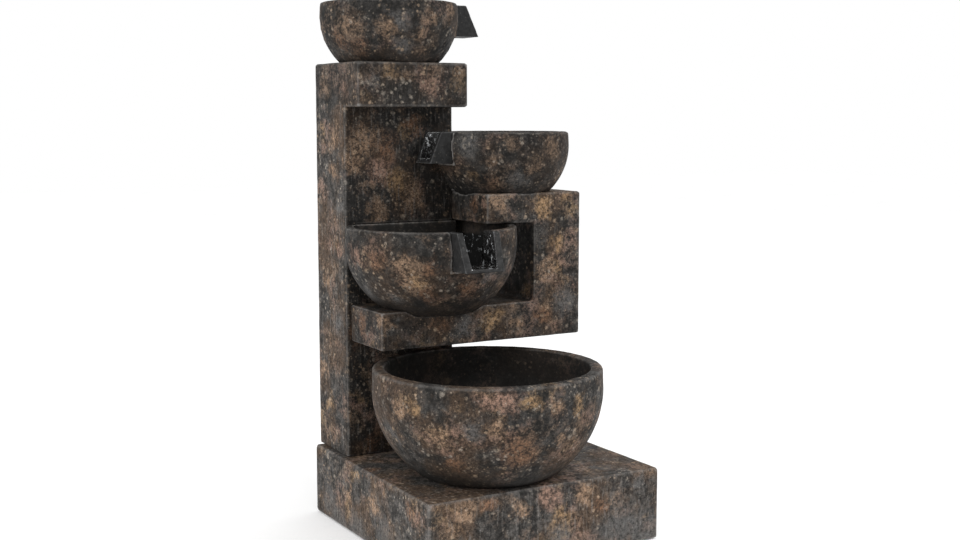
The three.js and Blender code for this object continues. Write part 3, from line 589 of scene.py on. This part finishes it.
def plain_stone(name):
    """The spouts' own stone: dark charcoal, slightly pitted, worn grey along the edges."""
    g = Graph(name)
    mottle = g.noise(95.0, 5.0, 0.7)
    grit = g.noise(420.0, 4.0, 0.7)
    colour = g.mix(g.ramp(mottle, 0.35, 0.68), (0.005, 0.005, 0.005), (0.016, 0.0158, 0.0158))
    colour = g.mix(g.times(g.dots(240.0, 0.40, 0.25), 0.28), colour, PALE)
    bend = g.add("ShaderNodeNewGeometry").outputs["Pointiness"]
    worn = g.times(g.ramp(bend, 0.515, 0.60), g.ramp(mottle, 0.32, 0.6, 0.40, 0.85))
    colour = g.mix(worn, colour, (0.12, 0.12, 0.121))
    relief = g.math("ADD", g.times(mottle, 0.8), g.times(grit, 0.3))
    g.shader.inputs["Specular IOR Level"].default_value = 0.22
    return g.finish(colour, g.ramp(mottle, 0.3, 0.7, 0.62, 0.48), relief, 0.8 * MM, 0.6)


def wet_stone(name):
    """The wet channel: near black, glossy, rippled, with pale glints painted into its colour where the
    film's pattern peaks.
    """
    g = Graph(name)
    ripple = g.noise(120.0, 4.0, 0.62)
    film = g.noise(1.0, 5.0, 0.75, g.stretch((110.0, 110.0, 84.0)))
    colour = g.mix(g.ramp(ripple, 0.35, 0.65), (0.004, 0.004, 0.004), (0.015, 0.0145, 0.0145))
    # painted glints: pale specks in the colour where the water film would catch the light
    colour = g.mix(g.ramp(film, 0.56, 0.64, 0.0, 0.95), colour, (0.46, 0.47, 0.48))
    material = g.finish(colour, g.ramp(film, 0.4, 0.7, 0.10, 0.28), ripple, 2.0 * MM, 0.9)
    g.shader.inputs["Specular IOR Level"].default_value = 0.30
    g.shader.inputs["Coat Weight"].default_value = 0.25
    g.shader.inputs["Coat Roughness"].default_value = 0.06
    return material


def moulded(name, dark, light, rough, scale=900.0, depth=0.15 * MM):
    """Moulded plastic or rubber with a fine grain and faint clouding."""
    g = Graph(name)
    cloud = g.noise(24.0, 4.0, 0.6)
    grain = g.noise(scale, 2.0, 0.5)
    colour = g.mix(g.ramp(cloud, 0.3, 0.7), dark, light)
    return g.finish(colour, g.ramp(cloud, 0.3, 0.7, rough - 0.06, rough + 0.08), grain, depth, 0.4)


def brushed(name):
    """Brushed steel, with fine scratches along Z."""
    g = Graph(name)
    lines = g.noise(1.0, 3.0, 0.6, g.stretch((2600.0, 2600.0, 180.0)))
    colour = g.mix(g.ramp(lines, 0.3, 0.7), (0.46, 0.46, 0.47), (0.66, 0.66, 0.66))
    material = g.finish(colour, g.ramp(lines, 0.3, 0.7, 0.24, 0.42), lines, 0.04 * MM, 0.5)
    g.shader.inputs["Metallic"].default_value = 1.0
    return material


def vinyl(name):
    """Milky vinyl hose, slightly clouded, with a soft gloss."""
    g = Graph(name)
    cloud = g.noise(60.0, 4.0, 0.6)
    colour = g.mix(g.ramp(cloud, 0.3, 0.7), (0.36, 0.40, 0.39), (0.52, 0.56, 0.54))
    material = g.finish(colour, g.ramp(cloud, 0.3, 0.7, 0.16, 0.30), cloud, 0.2 * MM, 0.3)
    g.shader.inputs["Coat Weight"].default_value = 0.4
    return material


# ---------- the stone pieces ----------
# Stains and painted shade, by shares of the node's box along X, Y and Z, with a radius in millimetres. The
# "dark" marks are partly dark patches of the stone and partly painted shade, such as the basin's painted
# shadow on the plinth's top and the shade under the ledge and round the bowls on the column's front.
STAINS_AND_SHADES = {
    "top_ledge": [
        (0.30, 0.0, 0.85, 20, "ochre"), (0.42, 0.0, 0.70, 17, "tan"), (0.66, 0.0, 0.60, 32, "pink"),
        (0.93, 0.0, 0.85, 16, "tan"), (0.33, 0.0, 0.40, 28, "dark"), (0.12, 0.0, 0.60, 20, "grey"),
        (0.92, 0.0, 0.30, 16, "dark"), (0.55, 0.0, 0.10, 16, "dark"), (0.0, 0.30, 0.50, 22, "pink"),
        (0.0, 0.75, 0.55, 24, "tan"), (0.5, 1.0, 0.5, 30, "tan"), (1.0, 0.6, 0.5, 30, "rust"),
    ],
    "column_shell": [
        (0.16, 0.0, 0.91, 40, "tan"), (0.37, 0.0, 0.88, 36, "rust"), (0.05, 0.0, 0.85, 26, "tan"),
        (0.32, 0.0, 0.82, 30, "pink"), (0.46, 0.0, 0.78, 30, "ochre"), (0.64, 0.0, 0.74, 26, "tan"),
        # The dark marks on the column's front are mostly painted shade: under the ledge and round the bowls
        # and basin.
        (0.27, 0.0, 0.70, 24, "tan"), (0.62, 0.0, 0.95, 22, "rust"), (0.12, 0.0, 0.74, 24, "dark"),
        (0.37, 0.0, 1.0, 30, "dark"), (0.80, 0.0, 0.98, 30, "dark"), (0.75, 0.0, 0.81, 30, "dark"),
        (0.88, 0.0, 0.75, 34, "dark"), (0.94, 0.0, 0.68, 34, "dark"), (0.92, 0.0, 0.90, 18, "grey"),
        (0.12, 0.0, 0.28, 36, "dark"), (0.25, 0.0, 0.17, 36, "dark"), (0.06, 0.0, 0.06, 22, "dark"),
        (0.20, 0.0, 0.04, 22, "rust"), (0.10, 0.0, 0.36, 20, "rust"),
        (0.0, 0.32, 0.91, 20, "tan"), (0.0, 0.42, 0.82, 20, "tan"), (0.0, 0.20, 0.60, 18, "pink"),
        (0.0, 0.67, 0.49, 22, "tan"), (0.0, 0.78, 0.23, 22, "tan"), (0.0, 0.60, 0.14, 20, "ochre"),
        (0.0, 0.20, 0.72, 22, "grey"), (0.0, 0.30, 0.38, 26, "grey"),
        (0.3, 1.0, 0.85, 45, "tan"), (0.7, 1.0, 0.60, 50, "rust"), (1.0, 0.5, 0.55, 45, "tan"),
    ],
    "side_frame": [
        (0.51, 0.26, 0.92, 20, "rust"), (0.56, 0.0, 0.95, 20, "tan"), (0.80, 0.0, 0.90, 25, "ochre"),
        (0.66, 0.0, 0.92, 20, "dark"), (0.89, 0.0, 0.79, 20, "dark"), (0.88, 0.0, 0.65, 24, "ochre"),
        (0.82, 0.0, 0.48, 24, "tan"), (0.92, 0.0, 0.24, 30, "grey"), (0.95, 0.0, 0.05, 26, "dark"),
        (0.80, 0.0, 0.14, 22, "rust"), (0.53, 0.0, 0.15, 28, "ochre"), (0.66, 0.0, 0.10, 20, "tan"),
        (0.40, 0.0, 0.12, 24, "grey"), (0.28, 0.0, 0.14, 20, "rust"), (0.16, 0.0, 0.14, 32, "dark"),
        (0.0, 0.43, 0.14, 22, "rust"), (0.02, 0.0, 0.18, 18, "tan"), (0.75, 0.26, 0.52, 30, "dark"),
        (0.75, 0.13, 0.32, 20, "ochre"), (0.94, 0.0, 0.45, 20, "dark"), (1.0, 0.5, 0.7, 40, "tan"),
        (1.0, 0.4, 0.2, 35, "rust"),
    ],
    "plinth_shell": [
        # The large dark mark on the top round the basin's foot is the basin's painted shadow.
        (0.03, 0.52, 1.0, 22, "rust"), (0.41, 0.30, 1.0, 148, "dark"), (0.80, 0.11, 1.0, 22, "grey"),
        (0.0, 0.61, 0.85, 20, "ochre"), (0.0, 0.43, 0.57, 26, "tan"), (0.0, 0.14, 0.77, 22, "rust"),
        (0.0, 0.86, 0.30, 36, "plain"), (0.0, 0.36, 0.28, 36, "plain"), (0.0, 0.66, 0.54, 18, "tan"),
        (0.50, 0.0, 0.81, 28, "pink"), (0.37, 0.0, 0.74, 18, "tan"), (0.15, 0.0, 0.84, 30, "tan"),
        (0.25, 0.0, 0.87, 18, "rust"), (0.66, 0.0, 0.83, 24, "tan"), (0.55, 0.0, 0.58, 18, "ochre"),
        (0.91, 0.0, 0.87, 20, "grey"), (0.82, 0.0, 0.20, 60, "plain"), (0.55, 0.0, 0.25, 40, "plain"),
        (0.02, 0.0, 0.81, 20, "dark"), (0.09, 0.0, 0.58, 18, "tan"), (0.29, 0.0, 0.50, 22, "dark"),
        (0.73, 0.0, 0.62, 18, "rust"), (0.0, 0.60, 0.08, 50, "plain"), (0.0, 0.78, 0.08, 46, "plain"),
        (0.0, 0.22, 0.05, 46, "plain"), (0.95, 0.0, 0.12, 50, "plain"),
        (0.3, 1.0, 0.6, 40, "tan"), (0.75, 1.0, 0.7, 35, "rust"),
        (1.0, 0.3, 0.6, 40, "tan"), (1.0, 0.8, 0.4, 40, "grey"),
    ],
    "top_bowl": [
        (0.09, 0.23, 0.64, 34, "tan"), (0.26, 0.08, 0.57, 22, "tan"), (0.59, 0.01, 0.72, 22, "tan"),
        (0.79, 0.09, 0.85, 18, "tan"), (0.19, 0.11, 0.81, 16, "dark"), (0.36, 0.03, 0.70, 22, "grey"),
        (0.15, 0.25, 0.33, 24, "rust"), (0.06, 0.37, 0.45, 24, "rust"), (0.40, 0.07, 0.37, 22, "grey"),
        (0.66, 0.11, 0.29, 20, "dark"), (0.52, 0.03, 0.51, 18, "tan"), (0.5, 1.0, 0.6, 40, "tan"),
    ],
    "upper_bowl": [
        (0.05, 0.26, 0.83, 30, "grey"), (0.64, 0.03, 0.76, 30, "tan"), (0.09, 0.29, 0.43, 16, "ochre"),
        (0.19, 0.11, 0.66, 22, "tan"), (0.32, 0.03, 0.90, 18, "tan"), (0.56, 0.01, 0.96, 16, "dark"),
        (0.21, 0.20, 0.30, 22, "rust"), (0.39, 0.08, 0.37, 24, "grey"), (0.49, 0.02, 0.57, 18, "tan"),
        (0.9, 0.8, 0.6, 35, "rust"),
    ],
    "lower_bowl": [
        (0.20, 0.14, 0.48, 36, "tan"), (0.22, 0.13, 0.45, 20, "ochre"), (0.27, 0.06, 0.60, 18, "rust"),
        (0.30, 0.14, 0.30, 20, "rust"), (0.48, 0.05, 0.37, 24, "rust"), (0.01, 0.51, 0.71, 26, "pink"),
        (0.04, 0.33, 0.66, 20, "rust"), (0.13, 0.18, 0.64, 18, "tan"), (0.34, 0.02, 0.68, 22, "dark"),
        (0.89, 0.70, 0.50, 22, "tan"), (0.41, 0.12, 0.23, 20, "dark"), (0.17, 0.33, 0.22, 20, "grey"),
        (0.10, 0.54, 0.26, 24, "grey"), (0.63, 0.03, 0.50, 18, "grey"),
    ],
    "basin_bowl": [
        (0.32, 0.04, 0.88, 26, "pink"), (0.25, 0.07, 0.89, 16, "pink"), (0.41, 0.01, 0.86, 18, "ochre"),
        (0.52, 0.0, 0.82, 20, "tan"), (0.65, 0.02, 0.78, 20, "ochre"), (0.02, 0.39, 0.76, 26, "tan"),
        (0.05, 0.30, 0.77, 20, "ochre"), (0.12, 0.21, 0.55, 20, "tan"), (0.39, 0.05, 0.44, 42, "rust"),
        (0.57, 0.03, 0.49, 22, "tan"), (0.02, 0.47, 0.52, 24, "grey"), (0.19, 0.11, 0.90, 16, "dark"),
        (0.45, 0.01, 0.95, 14, "dark"), (0.21, 0.10, 0.64, 26, "grey"), (0.14, 0.26, 0.32, 24, "dark"),
        (0.30, 0.05, 0.64, 18, "tan"), (0.46, 0.01, 0.66, 18, "dark"), (0.71, 0.07, 0.57, 18, "dark"),
        (0.19, 0.22, 0.27, 18, "rust"), (0.30, 0.14, 0.24, 22, "dark"), (1.0, 0.5, 0.6, 40, "tan"),
        (0.85, 0.2, 0.55, 30, "rust"),
    ],
}
TONES_AND_FACE_SHADING = {                   # how light each piece is painted: its front face, and the rest; the gap between them is painted light and shade
    "top_ledge": (0.36, 0.52), "column_shell": (0.28, 0.78),
    "side_frame": (0.62, 0.44), "plinth_shell": (0.98, 1.0),
    "top_bowl": (0.41, 0.41), "upper_bowl": (0.37, 0.37),
    "lower_bowl": (0.46, 0.46), "basin_bowl": (0.59, 0.59),
}
WARMTH = {"top_ledge": 0.55, "upper_bowl": 0.50, "top_bowl": 0.70, "lower_bowl": 0.85}
STREAKS = {"plinth_shell": 0.35, "column_shell": 0.40, "top_ledge": 0.25, "side_frame": 0.15}


def inside_of(node):
    """The ellipse of a bowl's inner wall, and how strongly the wet inside is darkened and takes its painted
    glints.
    """
    axis, radius, _, rim = middle(node)
    spec = BOWLS[node]
    return dict(
        axis=axis, radius=radius - spec["wall"], drop=spec["drop"] - spec["wall"], belly=rim - spec["belly"],
        rim=rim, glints_and_wetness=0.0 if node == "basin_bowl" else 1.0,
    )


def hand_over(piece, node):
    """Puts a finished piece in its CAD node's place on the fountain."""
    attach(piece, "fountain")
    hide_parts(node)


for node in ("plinth_shell", "column_shell", "top_ledge", "side_frame"):
    piece = make_block(node)
    look = stone(node + "_stone", node, STAINS_AND_SHADES[node], TONES_AND_FACE_SHADING[node], WARMTH.get(node, 1.0), STREAKS[node])
    piece.data.materials.append(look)
    hand_over(piece, node)

for node in BOWLS:
    piece = make_bowl(node)
    look = stone(
        node + "_stone", node, STAINS_AND_SHADES[node], TONES_AND_FACE_SHADING[node], WARMTH.get(node, 1.0),
        foot_shade=FOOT_SHADE, inside=inside_of(node),
    )
    piece.data.materials.append(look)
    hand_over(piece, node)

for node in SPOUTS:
    piece = make_spout(node)
    piece.data.materials.append(plain_stone(node + "_stone"))
    piece.data.materials.append(wet_stone(node + "_wet"))
    mark_channel(piece, node)
    hand_over(piece, node)

# ---------- materials for the CAD nodes that stay ----------
LOOKS = {
    "grey_plastic": moulded("grey_plastic", (0.044, 0.041, 0.039), (0.074, 0.069, 0.065), 0.56),
    "black_plastic": moulded("black_plastic", (0.014, 0.014, 0.015), (0.030, 0.030, 0.032), 0.42),
    "vinyl": vinyl("vinyl"),
    "rubber": moulded("rubber", (0.018, 0.018, 0.018), (0.040, 0.039, 0.038), 0.78, 1400.0),
    "steel": brushed("steel"),
}
shown = {entry["node"]: entry["material_slot"] for entry in frame["record"]["subparts"]}
for node, slot in shown.items():
    if slot in LOOKS:
        mesh = frame["nodes"][node].data
        mesh.materials.clear()
        mesh.materials.append(LOOKS[slot])


# ---------- floor, light and camera ----------
def area_light(name, place, aim, size, power):
    """A round soft light that looks at a point."""
    lamp = bpy.data.lights.new(name, "AREA")
    lamp.shape = "DISK"
    lamp.size = size
    lamp.energy = power
    holder = bpy.data.objects.new(name, lamp)
    bpy.context.scene.collection.objects.link(holder)
    holder.location = place
    holder.rotation_euler = (Vector(aim) - Vector(place)).to_track_quat("-Z", "Y").to_euler()


def make_stage():
    """A wide, near-white floor under a white sky."""
    mesh = bpy.data.meshes.new("floor")
    reach = 12.0
    corners = [(-reach, -reach, 0), (reach, -reach, 0), (reach, reach, 0), (-reach, reach, 0)]
    mesh.from_pydata(corners, [], [(0, 1, 2, 3)])
    floor = bpy.data.objects.new("floor", mesh)
    bpy.context.scene.collection.objects.link(floor)
    g = Graph("floor")
    tone = g.mix(g.ramp(g.noise(3.0), 0.3, 0.7), (0.93, 0.93, 0.93), (0.96, 0.96, 0.96))
    mesh.materials.append(g.finish(tone, 0.9))
    g.shader.inputs["Specular IOR Level"].default_value = 0.0
    g.shader.inputs["Emission Color"].default_value = (1.0, 1.0, 1.0, 1.0)
    g.shader.inputs["Emission Strength"].default_value = 0.06
    world = bpy.data.worlds.new("studio")
    bpy.context.scene.world = world
    world.use_nodes = True
    sky = world.node_tree.nodes["Background"]
    sky.inputs["Color"].default_value = (1.0, 1.0, 1.0, 1.0)
    sky.inputs["Strength"].default_value = 1.0


make_stage()
area_light("key", (1.7, -1.9, 2.6), (0.0, 0.0, 0.45), 1.2, 45.0)
area_light("left_fill", (-2.6, -0.4, 1.2), (0.0, 0.0, 0.45), 1.6, 32.0)

# The camera stands where the photo was taken from, left of the fountain's front, and looks slightly down.
camera = bpy.data.cameras.new("camera")
camera.lens = 49.456
camera.sensor_width = 36.0
eye = bpy.data.objects.new("camera", camera)
bpy.context.scene.collection.objects.link(eye)
eye.location = (-1.25372, -2.16999, 0.80122)
eye.rotation_euler = (math.pi / 2 - 0.117108, 0.0, -0.52241)
bpy.context.scene.camera = eye
bpy.context.scene.view_settings.view_transform = "Standard"
